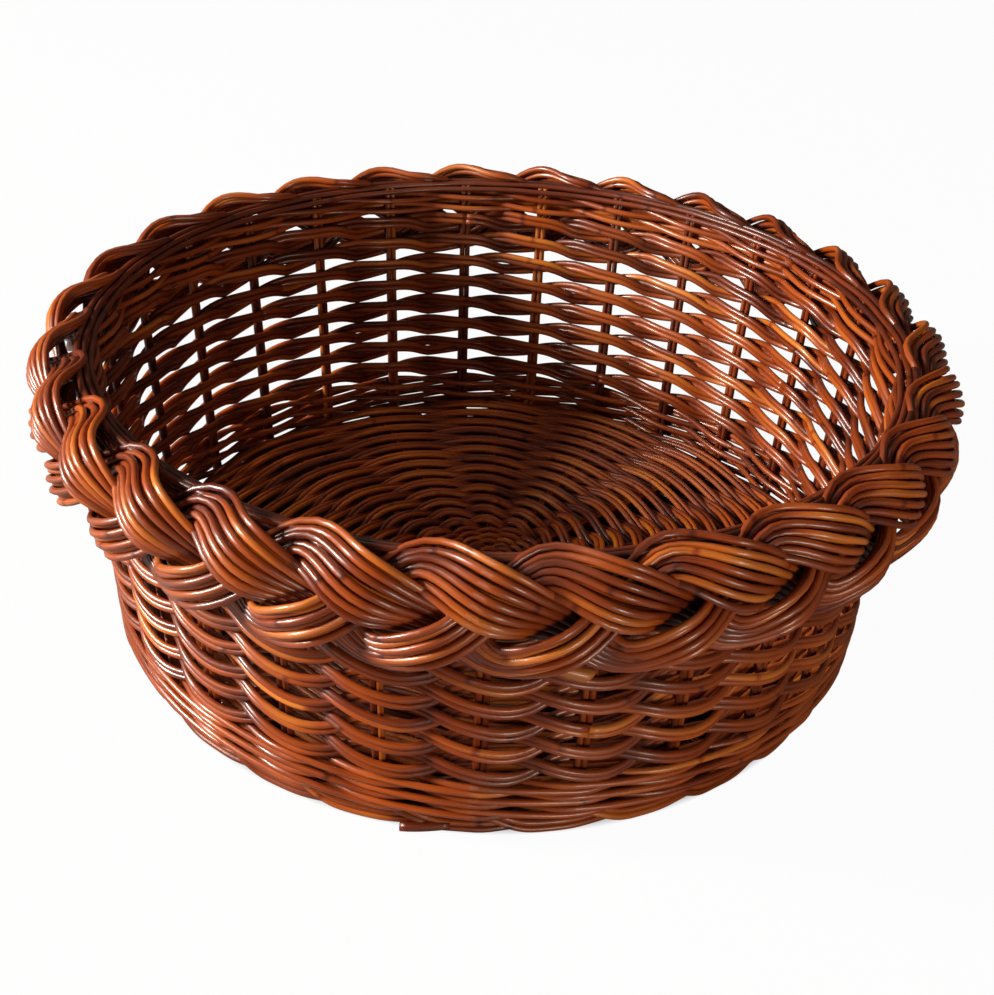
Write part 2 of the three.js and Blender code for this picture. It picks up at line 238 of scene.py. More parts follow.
def soft_lamp(name, place, size, watts, colour):
    """A round area lamp that points at the basket."""
    lamp = bpy.data.lights.new(name, "AREA")
    lamp.shape = "DISK"
    lamp.size = size
    lamp.energy = watts
    lamp.color = colour
    holder = bpy.data.objects.new(name, lamp)
    holder.location = place
    aim = Vector(BASKET_MIDDLE) - Vector(place)
    holder.rotation_euler = aim.to_track_quat("-Z", "Y").to_euler()
    bpy.context.collection.objects.link(holder)


soft_lamp("key_lamp", (-1.42, -0.22, 0.71), size=0.42, watts=58.0, colour=(1.0, 0.96, 0.90))
soft_lamp("top_lamp", (-0.20, 0.55, 1.60), size=0.60, watts=1.5, colour=(1.0, 0.92, 0.82))
soft_lamp("fill_lamp", (0.70, -1.35, 0.22), size=0.42, watts=10.5, colour=(1.0, 0.90, 0.76))
bpy.context.scene.view_settings.view_transform = "Standard"
print("sheet, world and three soft lamps")

# %% [markdown]
# ## The basket's measures
# These are the sizes that the solids were made from, so the rods land where the solids are. A stake
# has a place on the ring and a row of weaving has a height, and both read the same few numbers. The
# solids' rows climb by one row in a turn, which can't be seen, so here each row lies level.

# %% Measures, in millimetres
STAKES = 27
SPOKES = 15
BASE_TURNS = 25
CLEARANCE = 0.3
STAKE_ROD = 2.2
WEAVER_ROD = 2.15
WALE_ROW_HEIGHT = 5.0
WEAVER_ROWS = 17
TAPER_HEIGHT = 2.2
SPOKE_ROD = 2.2
SPOKE_WIDTH = 3.0
BASE_WEAVER_ROD = 1.8
BASE_WEAVER_WIDTH = 3.7
STRAND_WIDTH = 13.4
STRAND_FAN = 1.6
STRAND_THICKNESS = 4.2
WALL_RADIUS_FOOT = 136.6
WALL_RADIUS_RIM = 144.9
FOOT_HEIGHT = 7.5
LEG_REACH = 12.0
BASE_EYE = 26.0
PLAIT_TURN = math.radians(-1.4)

PITCH = 2 * math.pi / STAKES
leg_bottom = FOOT_HEIGHT + CLEARANCE
weaving_bottom = leg_bottom + STAKE_ROD + CLEARANCE


def rows_called(pattern, count, height, wale):
    return [{"name": pattern % (i + 1), "height": height, "wale": wale} for i in range(count)]


rows = rows_called("bottom_wale_%d", 3, WALE_ROW_HEIGHT, True)
rows += rows_called("weaver_row_%02d", WEAVER_ROWS, 2 * WEAVER_ROD, False)
rows += rows_called("top_wale_%d", 2, 2 * WEAVER_ROD, True)
climb = weaving_bottom + TAPER_HEIGHT + CLEARANCE
for number, row in enumerate(rows):
    rise = row["height"] + CLEARANCE if number else 0.0
    row["bottom"] = climb + rise / 2 if number else weaving_bottom
    climb += rise
stake_top = climb + TAPER_HEIGHT
for row, above in zip(rows, rows[1:] + [None]):
    row["top"] = above["bottom"] - CLEARANCE if above else stake_top
core_bottom = stake_top + CLEARANCE


def wall_radius(z):
    share = (z - leg_bottom) / (stake_top - leg_bottom)
    return WALL_RADIUS_FOOT + share * (WALL_RADIUS_RIM - WALL_RADIUS_FOOT)


def at(angle, radius, z):
    """Points at angles from the front, anticlockwise seen from above."""
    angle, radius, z = np.broadcast_arrays(angle, radius, z)
    return np.stack([radius * np.sin(angle), -radius * np.cos(angle), z], axis=-1)


print("%d rows, wall from %.1f to %.1f mm" % (len(rows), weaving_bottom, stake_top))

# %% [markdown]
# ## Laying a rod
# A rod is a round tube on a path. It could be extruded ring by ring, but Blender's curves do
# exactly that: a poly curve with a bevel depth is a tube, and each point's radius makes it thicker
# or thinner. All the rods of one piece go into one curve, the curve becomes a mesh, and its open
# ends are filled.
#
# Real rods are never quite straight or alike. `drift` makes a slow wander that closes on itself
# after a turn. And each rod carries three notes for its finish, kept on the mesh: `lay` says how
# far along and how far round the rod a point is, so grain can follow it; `tone` is the rod's own
# shade; and `tuck` is 1 where it dives behind its neighbours. The finish paints it darker there,
# partly for stain that gathers there and partly as painted shade.

# %% Helpers for rods
dice = np.random.default_rng(41)
LAY_PER_MM = 0.02
LAY_BETWEEN_RODS = 7.3
LAY_STARTS = 60


def drift(turns, amount, waves=(2, 3, 5, 8, 13)):
    """A slow wander along a rod. It closes on itself after a full turn."""
    value = np.zeros_like(turns, dtype=float)
    for wave in waves:
        value += dice.normal() * np.sin(wave * turns + dice.uniform(0, 2 * math.pi))
    return amount * value / math.sqrt(len(waves))


def rod(path, radius, tone, tuck=0.0, closed=False):
    """One rod: points in millimetres, its radius, its shade and how deep it is tucked away."""
    path = np.asarray(path, float)
    notes = {"path": path, "closed": closed}
    for name, value in (("radius", radius), ("tone", tone), ("tuck", tuck)):
        notes[name] = np.broadcast_to(np.asarray(value, float), (len(path),))
    return notes


def tubes(rods, sides):
    """A mesh of round tubes, one for each rod."""
    curve = bpy.data.curves.new("rods", "CURVE")
    curve.dimensions = "3D"
    curve.bevel_depth = MM
    curve.bevel_resolution = (sides - 4) // 2
    for one in rods:
        spline = curve.splines.new("POLY")
        spline.points.add(len(one["path"]) - 1)
        places = np.ones((len(one["path"]), 4))
        places[:, :3] = one["path"] * MM
        spline.points.foreach_set("co", places.ravel())
        spline.points.foreach_set("radius", one["radius"])
        spline.use_cyclic_u = one["closed"]
    holder = bpy.data.objects.new("rods", curve)
    bpy.context.collection.objects.link(holder)
    evaluated = holder.evaluated_get(bpy.context.evaluated_depsgraph_get())
    mesh = bpy.data.meshes.new_from_object(evaluated)
    bpy.data.objects.remove(holder)
    bpy.data.curves.remove(curve)
    return mesh


def note_rods(mesh, rods, sides):
    """Writes lay, tone and tuck on the points, which run round each ring and then along the rod."""
    round_angle = 2 * math.pi * np.arange(sides) / sides
    lay, tone, tuck = [], [], []
    for one in rods:
        steps = np.linalg.norm(np.diff(one["path"], axis=0), axis=1)
        along = np.concatenate([[0], np.cumsum(steps)]) * LAY_PER_MM
        start = LAY_BETWEEN_RODS * dice.integers(1, LAY_STARTS)
        for distance in along:
            ring = [np.cos(round_angle), np.sin(round_angle), np.full(sides, start + distance)]
            lay.append(np.stack(ring, axis=-1))
        tone.append(np.repeat(one["tone"], sides))
        tuck.append(np.repeat(one["tuck"], sides))
    lay = np.concatenate(lay)
    assert len(lay) == len(mesh.vertices), "the tubes have other points than their paths"
    mesh.attributes.new("lay", "FLOAT_VECTOR", "POINT").data.foreach_set("vector", lay.ravel())
    for name, values in (("tone", tone), ("tuck", tuck)):
        layer = mesh.attributes.new(name, "FLOAT", "POINT")
        layer.data.foreach_set("value", np.concatenate(values))


def lay_rods(name, rods, finish, nodes, sides=8):
    """Lays rods as one piece, which stands for the solids in nodes."""
    mesh = tubes(rods, sides)
    note_rods(mesh, rods, sides)
    bm = bmesh.new()
    bm.from_mesh(mesh)
    open_edges = [edge for edge in bm.edges if edge.is_boundary]
    bmesh.ops.holes_fill(bm, edges=open_edges, sides=sides)
    bmesh.ops.recalc_face_normals(bm, faces=bm.faces)
    for face in bm.faces:
        face.smooth = len(face.verts) == 4
    bm.to_mesh(mesh)
    bm.free()
    for layer in list(mesh.uv_layers):
        mesh.uv_layers.remove(layer)
    mesh.name = name
    piece = bpy.data.objects.new(name, mesh)
    bpy.context.collection.objects.link(piece)
    mesh.materials.clear()
    mesh.materials.append(finish)
    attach(piece, "root")
    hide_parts(*nodes)
    return piece


print("helpers for rods are ready")

# %% [markdown]
# ## Stained and varnished rods
# The rods were peeled, stained a red brown and then varnished. Stain takes unevenly, so some rods
# are golden, most are chestnut and a few are nearly black, and each has fine streaks along its
# length and a faint ring where a side shoot grew. Over it all lies the varnish: a clear coat, sharp
# enough for bright lines along the rods. Where rods cross and tuck behind each other the colour is
# darker, partly from dark stain that has gathered there and partly as painted shade. Where fingers
# and shelves touch the basket, the high places are a little paler and duller.
#
# One recipe makes every finish. Its colours differ a little from part to part: the plait was
# handled the most, the base's colours are painted lighter as painted light for a base that lies in
# shade, and the stakes' and wall-top rods' colours are painted darker as painted shade for the
# inside.

# %% The recipe for a rod's finish
STREAK_SHARE = 0.50
BLOTCH_SHARE = 0.45
# How much darker tucked places are: partly gathered stain, partly painted shade.
TUCK_PAINTED_SHADE = 0.34
SCAR_SHARE = 0.30
SCAR_SPACING = 0.42
SCAR_THINNESS = 70.0
WEAR_ABOVE = 0.52
WEAR_STEEPNESS = 3.0
WEAR_MOST = 0.28
HANDLED_DULLNESS = 0.35
FIBRE_DULLNESS = 0.18
TUCK_DULLNESS = 0.12
COAT_ROUGHNESS = 0.18
STREAK_RELIEF = 0.6
FIBRE_RELIEF = 0.35
SCAR_RELIEF = 0.8


def rod_finish(name, dark, middle, light, roughness, coat):
    finish = Finish(bpy.data.materials.new(name))
    lay = finish.node("ShaderNodeAttribute", {"attribute_name": "lay"}, out="Vector")
    tone = finish.node("ShaderNodeAttribute", {"attribute_name": "tone"}, out="Fac")
    tuck = finish.node("ShaderNodeAttribute", {"attribute_name": "tuck"}, out="Fac")
    place = finish.node("ShaderNodeTexCoord", out="Object")
    streaks = finish.node("ShaderNodeTexNoise", inputs={
        "Vector": lay, "Scale": 2.6, "Detail": 4.0, "Roughness": 0.6})
    fibres = finish.node("ShaderNodeTexNoise", inputs={"Vector": lay, "Scale": 9.0, "Detail": 3.0})
    blotches = finish.node("ShaderNodeTexNoise", inputs={
        "Vector": place, "Scale": 38.0, "Detail": 3.0})
    handling = finish.node("ShaderNodeTexNoise", inputs={
        "Vector": place, "Scale": 11.0, "Detail": 2.0})
    along = finish.node("ShaderNodeSeparateXYZ", inputs={0: lay}, out=2)
    scar_distance = finish.node("ShaderNodeTexVoronoi", {"voronoi_dimensions": "1D"},
                                {"W": along, "Scale": SCAR_SPACING}, out="Distance")
    scar = (1.0 - scar_distance * SCAR_THINNESS).clamp()
    # Where a rod is tucked away its colour is darker: partly gathered stain, partly painted shade.
    shade = (tone + (streaks - 0.5) * STREAK_SHARE + (blotches - 0.5) * BLOTCH_SHARE
             - tuck * TUCK_PAINTED_SHADE - scar * SCAR_SHARE).clamp()
    nearly_black = [channel * 0.5 for channel in dark]
    golden = [channel * 1.2 for channel in light]
    worn_colour = [channel * 0.7 + 0.04 for channel in light]
    colour = finish.node("ShaderNodeValToRGB", {"stops": [
        (0.0, nearly_black), (0.24, dark), (0.55, middle), (0.84, light), (1.0, golden),
    ]}, {0: shade})
    wear = ((handling - WEAR_ABOVE) * WEAR_STEEPNESS).clamp() * (1.0 - tuck).clamp() * WEAR_MOST
    worn = finish.blend(wear, colour, (*worn_colour, 1))
    dull = (roughness + (handling - 0.5) * HANDLED_DULLNESS + (fibres - 0.5) * FIBRE_DULLNESS
            + tuck * TUCK_DULLNESS).clamp()
    height = streaks * STREAK_RELIEF + fibres * FIBRE_RELIEF + scar * SCAR_RELIEF
    relief = finish.node("ShaderNodeBump", inputs={
        "Strength": 0.55, "Distance": 0.0003, "Height": height})
    surface = finish.node("ShaderNodeBsdfPrincipled", inputs={
        "Base Color": worn, "Roughness": dull, "Normal": relief,
        "Specular IOR Level": 0.4, "Coat Weight": coat, "Coat Roughness": COAT_ROUGHNESS,
        "IOR": 1.5})
    return finish.end(surface)


plait_finish = rod_finish("plait_rods", dark=(0.110, 0.013, 0.001), middle=(0.29, 0.048, 0.004),
                          light=(0.50, 0.140, 0.016), roughness=0.34, coat=0.40)
weaver_finish = rod_finish("weaver_rods", dark=(0.115, 0.014, 0.001), middle=(0.30, 0.050, 0.004),
                           light=(0.51, 0.145, 0.017), roughness=0.36, coat=0.34)
wale_finish = rod_finish("wale_rods", dark=(0.120, 0.015, 0.001), middle=(0.32, 0.055, 0.005),
                         light=(0.53, 0.155, 0.018), roughness=0.36, coat=0.34)
# The stakes and the rods along the wall top get darker colours: painted shade for the inside of the
# basket.
stake_finish_painted_darker = rod_finish("stake_rods", dark=(0.070, 0.008, 0.001), middle=(0.20, 0.030, 0.003),
                          light=(0.38, 0.100, 0.012), roughness=0.38, coat=0.30)
# The base gets lighter colours: painted light for a base that lies in shade.
base_finish_painted_lighter = rod_finish("base_rods", dark=(0.120, 0.014, 0.001), middle=(0.36, 0.064, 0.003),
                         light=(0.54, 0.155, 0.008), roughness=0.46, coat=0.16)
foot_finish = rod_finish("foot_rods", dark=(0.100, 0.013, 0.001), middle=(0.31, 0.058, 0.006),
                         light=(0.52, 0.155, 0.020), roughness=0.40, coat=0.26)
cut_finish = rod_finish("cut_rods", dark=(0.140, 0.034, 0.006), middle=(0.40, 0.120, 0.022),
                        light=(0.60, 0.240, 0.055), roughness=0.45, coat=0.25)
print("seven finishes from one recipe")

# %% [markdown]
# ## Stakes
# Each stake is a pair of rods side by side. It starts as a leg that lies over the foot, turns up at
# the edge of the base and leans out a little to the rim. The turn is a soft bend, because even a
# soaked rod kinks if it is folded. The path is written once for the middle of the pair, and the two
# rods stand half a rod to each side of it.

# %% Stakes
STAKE_BEND = 4.0
STAKE_THICK = 2.45
STAKE_INTO_RIM = 2.6
STAKE_POINTS = 22
BEND_STEPS = 5
PAIR_CLOSENESS = 0.92
HELD_BELOW = 20.0
FREED_OVER = 60.0
SWAY_LENGTH = 40
SWAY_ASIDE = 0.07
SWAY_DEEP = 0.12


def stake_line():
    """Radius and height along the middle of a stake, from its leg to its top."""
    leg_height = leg_bottom + STAKE_ROD / 2
    corner = WALL_RADIUS_FOOT - STAKE_BEND
    line = [(WALL_RADIUS_FOOT - LEG_REACH, leg_height), (corner - 3, leg_height)]
    for step in range(BEND_STEPS + 1):
        turn = step / BEND_STEPS * math.pi / 2
        line.append((corner + STAKE_BEND * math.sin(turn),
                     leg_height + STAKE_BEND * (1 - math.cos(turn))))
    first = leg_height + STAKE_BEND + 4
    for z in np.linspace(first, stake_top + STAKE_INTO_RIM, STAKE_POINTS):
        line.append((wall_radius(z), z))
    return np.array(line)


stake_radii, stake_heights = stake_line().T
for stake in range(STAKES):
    pair = []
    for side in (-1, 1):
        # The wales hold a stake at its foot. Higher up it can sway, and it gets a little thinner.
        climbing = np.clip((stake_heights - HELD_BELOW) / FREED_OVER, 0, 1)
        sway = drift(stake_heights / SWAY_LENGTH, SWAY_ASIDE) * climbing
        aside = side * STAKE_THICK / 2 * PAIR_CLOSENESS + sway
        deep = drift(stake_heights / SWAY_LENGTH, SWAY_DEEP) * climbing
        path = at(stake * PITCH + aside / stake_radii, stake_radii + deep, stake_heights)
        thickness = STAKE_THICK / 2 * (1.02 - 0.10 * climbing) * dice.uniform(0.95, 1.02)
        tuck = 0.45 * (1 - climbing)
        pair.append(rod(path, thickness, dice.normal(0.50, 0.17), tuck))
    node = "stake_%02d" % (stake + 1)
    lay_rods("rods_of_" + node, pair, stake_finish_painted_darker, [node])
print(STAKES, "pairs of stakes")

# %% [markdown]
# ## The woven wall
# Holes stand left and right of every stake in level rows, and each stroke outside dips over one
# stake and comes up into the next. That is pairing: two weavers, each of two thin rods, are twisted
# round each other between the stakes, so one is always outside and the other inside. Plain
# in-and-out weaving would have been simpler to write, but its holes are staggered.
#
# A weaver in pairing is a stretched spiral, and takes half a turn for each stake. Its radius is a
# cosine, made a little fuller so that the rod lies on its stake for longer. Its height outside is a
# sine that is a little late, since each stroke is pulled down tight after its stake, and inside it
# comes up fast and then runs level. Those heights are a short table, one for every fifteen degrees
# of the spiral. Between two stakes all four rods lie on top of each other and close the wall.
#
# Three-rod wales hold the first and the last rounds together: there each rod goes outside two
# stakes and inside the third.

# %% Wall weaving
STROKE_REACH = 3.25
WALE_ROD = 2.45
WALE_FULLNESS = 0.5
PAIRING_ROD = 2.34
PAIRING_FULLNESS = 0.25
PAIR_ROWS = 8
STEPS_PER_STAKE = 12
FIRST_JOIN = 12
JOIN_SHIFT = 8
PALE_ROD = 0.18
PALE_SHARE = 0.12
SLIP = 0.6
WANDER = 0.12
# Heights of a weaver from one side of its stake, outside, to the next stake, inside.
OUTSIDE = [0.81, 0.63, 0.41, 0.16, -0.10, -0.36, -0.59, -0.78, -0.91, -0.99, -0.99, -0.93]
INSIDE = [-0.81, -0.45, -0.02, 0.32, 0.53, 0.64, 0.70, 0.75, 0.80, 0.85, 0.88, 0.88]
# A wale's rod from inside one stake to inside the third after it: stakes on, reach and level.
WALE_STAKES_ON = [-0.5, 0.0, 0.5, 1.0, 1.5, 2.0, 2.5]
WALE_REACHES = [-1.0, 0.0, 1.0, 1.0, 1.0, 0.0, -1.0]
WALE_LEVELS = [0.0, 0.8, 1.0, 0.0, -1.0, -0.8, 0.0]
first_pairing, last_pairing = rows[3], rows[-3]
pair_height = (last_pairing["top"] + CLEARANCE - first_pairing["bottom"]) / PAIR_ROWS
twist = pair_height / 4 / OUTSIDE[0]


def fuller(swing, fullness):
    """A swing from side to side that stays at its sides for longer, and reaches no further."""
    return swing * (1 + fullness - fullness * swing ** 2)


def shades_along(turns, middle, spread, changes):
    """A rod ends and the next one starts here and there, so the shade changes along a row."""
    places = np.sort(dice.uniform(0, 1, changes))
    values = dice.normal(middle, spread, changes + 1)
    values = values + PALE_ROD * (dice.uniform(size=changes + 1) > 1 - PALE_SHARE)
    return values[np.searchsorted(places, turns)]


def slipped(angle, height):
    """How far a row has slipped up or down. Rows that lie on each other slip together."""
    share = np.clip((height - weaving_bottom) / (stake_top - weaving_bottom), 0, 1)
    slow = (np.sin(2 * angle + 0.8) + 0.8 * np.sin(5 * angle + 2.1 + 3 * share)
            + 0.5 * np.sin(9 * angle + 6 * share))
    return SLIP * slow * np.sin(math.pi * share)


def pairing_rods(middle, weaver, start):
    """One doubled weaver of a row: outside a stake, under its partner, inside the next, over it."""
    positions = start + np.linspace(0, STAKES, STAKES * STEPS_PER_STAKE + 1)
    turns = (positions - start) / STAKES
    theta = turns * 2 * math.pi
    angle = positions * PITCH
    phase = math.pi * (positions + weaver)
    swing = fuller(np.cos(phase), PAIRING_FULLNESS)
    fifteen_degrees = np.arange(len(OUTSIDE + INSIDE)) * math.pi / 12
    sunk = twist * np.interp(phase + math.pi / 2, fifteen_degrees, OUTSIDE + INSIDE,
                             period=2 * math.pi)
    reach = STROKE_REACH + drift(theta, WANDER, (4, 7, 11, 27))
    level = middle + sunk + drift(theta, WANDER, (5, 9, 14, 23)) + slipped(angle, middle)
    rods = []
    for side in (-1, 1):
        height = level + side * PAIRING_ROD / 2 + drift(theta, WANDER / 2, (6, 13, 21))
        radius = wall_radius(height) + swing * reach + drift(theta, WANDER, (6, 10, 17))
        thickness = PAIRING_ROD / 2 * (1.06 + drift(theta, 0.025))
        tone = shades_along(turns, middle=0.48, spread=0.09, changes=3)
        tuck = 0.55 - 0.55 * np.abs(swing)
        rods.append(rod(at(angle, radius, height), thickness, tone, tuck))
    return rods


def wale_rods(number, row):
    """Three rods in turn: each sinks as it goes outside two stakes, then goes inside the third."""
    positions = np.arange(STAKES * STEPS_PER_STAKE) / STEPS_PER_STAKE
    angle = positions * PITCH
    middle = (row["bottom"] + row["top"]) / 2
    thick = (row["top"] - row["bottom"] + CLEARANCE) / 4
    rods = []
    for weaver in range(3):
        phase = (positions + number + weaver + 1) % 3 - 0.5
        swing = fuller(np.interp(phase, WALE_STAKES_ON, WALE_REACHES), WALE_FULLNESS)
        height = middle + thick * np.interp(phase, WALE_STAKES_ON, WALE_LEVELS)
        height = height + drift(angle, 0.10, (5, 9, 14)) + slipped(angle, middle)
        radius = wall_radius(height) + swing * STROKE_REACH + drift(angle, 0.15, (6, 10, 17))
        thickness = WALE_ROD / 2 * (0.99 + drift(angle, 0.02))
        if number == 0:
            height = np.maximum(height, row["bottom"] + thickness)
        tone = shades_along(angle / (2 * math.pi), middle=0.48, spread=0.09, changes=3)
        tuck = 0.35 - 0.35 * np.abs(swing)
        rods.append(rod(at(angle, radius, height), thickness, tone, tuck, closed=True))
    return rods


for number, row in enumerate(rows):
    if row["wale"]:
        rods = wale_rods(number, row)
        lay_rods("rods_of_" + row["name"], rods, wale_finish, [row["name"]])

# Seventeen rows of solids share eight pairing rows, each of two weavers. So the weaver in the
# middle stands for two of them. The joins of the rows are spread round the basket.
weaver_rows = [[row["name"]] for row in rows if not row["wale"]]
centre = WEAVER_ROWS // 2
weaver_rows[centre:centre + 2] = [weaver_rows[centre] + weaver_rows[centre + 1]]
for number, names in enumerate(weaver_rows):
    pair_row, weaver = divmod(number, 2)
    middle = first_pairing["bottom"] + (pair_row + 0.5) * pair_height
    start = (pair_row * JOIN_SHIFT + FIRST_JOIN) % STAKES
    rods = pairing_rods(middle, weaver, start)
    lay_rods("rods_of_" + names[0], rods, weaver_finish, names)
print(PAIR_ROWS, "pairing rows, %.1f mm each" % pair_height)

# %% [markdown]
# ## The base
# Fifteen arms fan out from the middle, again an odd number, and thin rods are woven round them
# until they reach the stakes. In the middle the arms are crossed sticks: one layer lies across the
# other, and the first rounds of weaving bind them. Each arm is drawn from its stick's end in the
# cross to its own direction, so the sticks really open out like a fan.

# %% Base arms and the crossed sticks
ARM_PITCH = 2 * math.pi / SPOKES
ARM_POINTS = 24
ARM_TAPER = 0.14
HUB_STICK_SPACING = 3.3
HUB_REACH = 11.0
HUB_STICK_END = 9.0
CROSS_LIFT = 0.62
CROSS_REACH = 30.0
CROSS_FADE = 15.0
QUARTER = math.pi / 2
hub_touching = (SPOKE_ROD + BASE_WEAVER_ROD) / 2 + CLEARANCE
stroke_out = (STAKE_ROD + WEAVER_ROD) / 2 + CLEARANCE
first_wale_inside = (wall_radius(weaving_bottom) - stroke_out
                     + (wall_radius(weaving_bottom) + stroke_out) * (1 - math.cos(PITCH / 4))
                     - WEAVER_ROD / 2)
base_edge = (first_wale_inside - CLEARANCE) * math.cos(PITCH / 4)


def base_lift(radius):
    """How far a stroke lies above the arms' middle: more near the hub, where arms are close."""
    return hub_touching / (1 - SPOKE_WIDTH / (2 * math.pi * radius / SPOKES))


base_middle = weaving_bottom + base_lift(base_edge - BASE_WEAVER_WIDTH) + BASE_WEAVER_ROD / 2
base_pitch = (base_edge - BASE_WEAVER_WIDTH - BASE_EYE) / BASE_TURNS
stick_radius = SPOKE_WIDTH / 4

arms = []
for arm in range(SPOKES):
    angle = math.pi + arm * ARM_PITCH
    quarter = round(angle / QUARTER)
    stick = (angle - quarter * QUARTER) / ARM_PITCH
    layer = (CROSS_LIFT if quarter % 2 else -CROSS_LIFT) * SPOKE_ROD / 2
    across = at((quarter + 1) * QUARTER, 1.0, 0)
    out = at(quarter * QUARTER, 1.0, 0)
    for side in (-1, 1):
        aside = side * stick_radius
        inner_path = [across * (stick * HUB_STICK_SPACING + aside) + out * reach
                      for reach in (-HUB_STICK_END, 0.0, HUB_REACH)]
        reaches = np.linspace(BASE_EYE - 3, base_edge - 0.5, ARM_POINTS)
        outer_path = at(angle + aside / reaches, reaches, 0.0)
        path = np.concatenate([np.array(inner_path), outer_path])
        distance = np.linalg.norm(path[:, :2], axis=1)
        crossing = np.clip((CROSS_REACH - distance) / CROSS_FADE, 0, 1)
        path[:, 2] = base_middle + layer * crossing + drift(distance / 40, 0.08)
        taper = stick_radius * (1.12 - ARM_TAPER * distance / base_edge)
        arms.append(rod(path, taper, dice.normal(0.45, 0.12), tuck=0.25))
lay_rods("crossed_arms_of_the_base", arms, base_finish_painted_lighter, ["base_spokes"])
print(SPOKES, "arms")

# %% [markdown]
# The base is woven as the wall is, by pairing, only that it lies flat: one weaver goes over an arm
# while its partner goes under, and between two arms they lie side by side and change places. Over
# every arm the strokes bulge up in arcs, and between the arms they meet in a valley. The number of
# arms is odd, so after one turn each weaver arrives where its partner began: a round is one closed
# line that goes round twice. Near the middle a few small rounds bind the crossed sticks.

# %% Base weaving
BASE_ROD = 2.22
BASE_FULLNESS = 0.15
ARC_HEIGHT = 0.84
ARC_SINK = 0.25
STEPS_PER_ARM = 8
HUB_BINDING = 8.0
HUB_WAVE = 1.3
HUB_CLOSENESS = 0.9
HUB_POINTS = 72
base_rounds = round((base_edge - BASE_EYE) / (2 * base_pitch))
round_width = (base_edge - BASE_EYE) / base_rounds
twice_round = np.arange(2 * SPOKES * STEPS_PER_ARM) / STEPS_PER_ARM
base_angle = math.pi + twice_round * ARM_PITCH
over = fuller(np.cos(math.pi * twice_round), BASE_FULLNESS)
changing_places = np.sin(math.pi * twice_round)
base_rods = []
for number in range(base_rounds):
    middle = BASE_EYE + (number + 0.5) * round_width
    rise = ARC_HEIGHT * base_lift(middle) - ARC_SINK
    for side in (-1, 1):
        radius = middle + changing_places * round_width / 4 + side * BASE_ROD / 2
        radius = radius + drift(base_angle / 2, WANDER, (3, 7, 11))
        height = base_middle + over * rise + drift(base_angle / 2, WANDER, (4, 9, 15))
        thickness = BASE_ROD / 2 * (1.04 + drift(base_angle / 2, 0.02))
        tone = shades_along(twice_round / (2 * SPOKES), middle=0.50, spread=0.10, changes=3)
        tuck = 0.5 - 0.5 * over
        base_rods.append(rod(at(base_angle, radius, height), thickness, tone, tuck, closed=True))
round_the_hub = np.linspace(0, 2 * math.pi, HUB_POINTS, endpoint=False)
for number, radius in enumerate(np.arange(HUB_BINDING, BASE_EYE, BASE_ROD * HUB_CLOSENESS)):
    waves = 5 if radius < BASE_EYE / 2 else 8
    height = base_middle + HUB_WAVE * np.cos(waves * round_the_hub + number * math.pi)
    path = at(round_the_hub, radius + drift(round_the_hub, 0.1, (3, 7)), height)
    base_rods.append(rod(path, BASE_ROD / 2, dice.normal(0.48, 0.12), tuck=0.2, closed=True))
base_piece = lay_rods("weaving_of_the_base", base_rods, base_finish_painted_lighter, ["base_weaver"],
                      sides=6)
print(base_rounds, "rounds in the base,", len(base_piece.data.vertices), "points")

# %% [markdown]
# ## The foot
# Under the wall the stakes' lower ends are rolled into a rope that the basket stands on. Each pair
# comes down past the lowest wale, dives to the right over the pair before it, runs along the
# outside of the foot for one stake's width and disappears inwards under the next. A few rods run
# right round inside the roll and fill it. The path is a handful of stations, counted in stakes,
# with a radius and a height each, joined by a smooth line.

# %% Foot border
FOOT_ROD = 2.35
FOOT_MIDDLE_RADIUS = 134
FOOT_PAIR_CLOSENESS = 0.98
FOOT_TOP = FOOT_HEIGHT + 2.2
FOOT_LEAN = 0.03
FILLING_ROD = 2.44
SMOOTH_STEPS = 40
foot_stations = np.array([
    # stakes on, radius, height
    (-0.42, 131.6, 6.4), (-0.12, 133.6, 8.6), (0.10, 135.6, 8.0), (0.30, 136.4, 5.6),
    (0.50, 135.9, 3.0), (0.75, 135.3, 1.9), (1.05, 134.6, 1.5), (1.35, 133.0, 1.35),
    (1.70, 130.8, 1.25), (2.05, 128.6, 2.4),
])
# The rods inside the roll: radius and height.
FILLING = ((131.6, 3.7), (129.2, 4.8), (127.6, 2.6), (129.9, 1.25), (132.4, 5.9), (127.5, 5.9))


def smooth_through(stations, count):
    """A smooth line through stations: a Catmull-Rom curve, as many points as wanted."""
    before = stations[:1] * 2 - stations[1:2]
    beyond = stations[-1:] * 2 - stations[-2:-1]
    padded = np.concatenate([before, stations, beyond])
    where = np.linspace(0, len(stations) - 1 - 1e-6, count)
    part = where.astype(int)
    t = (where - part)[:, None]
    a, b, c, d = (padded[part + offset] for offset in range(4))
    return 0.5 * (2 * b + (c - a) * t + (2 * a - 5 * b + 4 * c - d) * t ** 2
                  + (3 * b - a - 3 * c + d) * t ** 3)


